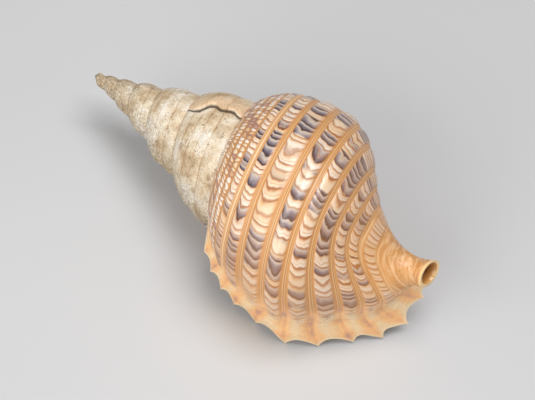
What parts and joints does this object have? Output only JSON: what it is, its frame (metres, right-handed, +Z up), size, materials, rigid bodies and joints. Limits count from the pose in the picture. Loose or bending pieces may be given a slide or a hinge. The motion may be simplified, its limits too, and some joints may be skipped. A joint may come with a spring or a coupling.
{
  "type": "triton shell",
  "caption": "Large spiral sea snail shell with a tall worn spire, ribbed last whorl, scalloped lip and short open canal, lying opening down.",
  "frame": {"origin": "on the table under the middle of the shell's box", "axes": "+X from the tip of the spire to the canal, -Y to the lip's side, +Z up, as it rests on its lip and belly"},
  "size_m": [0.3594, 0.1821, 0.1644],
  "materials": {
    "shell": "natural shell: glossy cream, orange-tan and grey-brown pattern on the last whorl, chalky worn spire, smooth orange inside"
  },
  "bodies": {
    "root": {"triton_shell": "shell"}
  },
  "joints": []
}
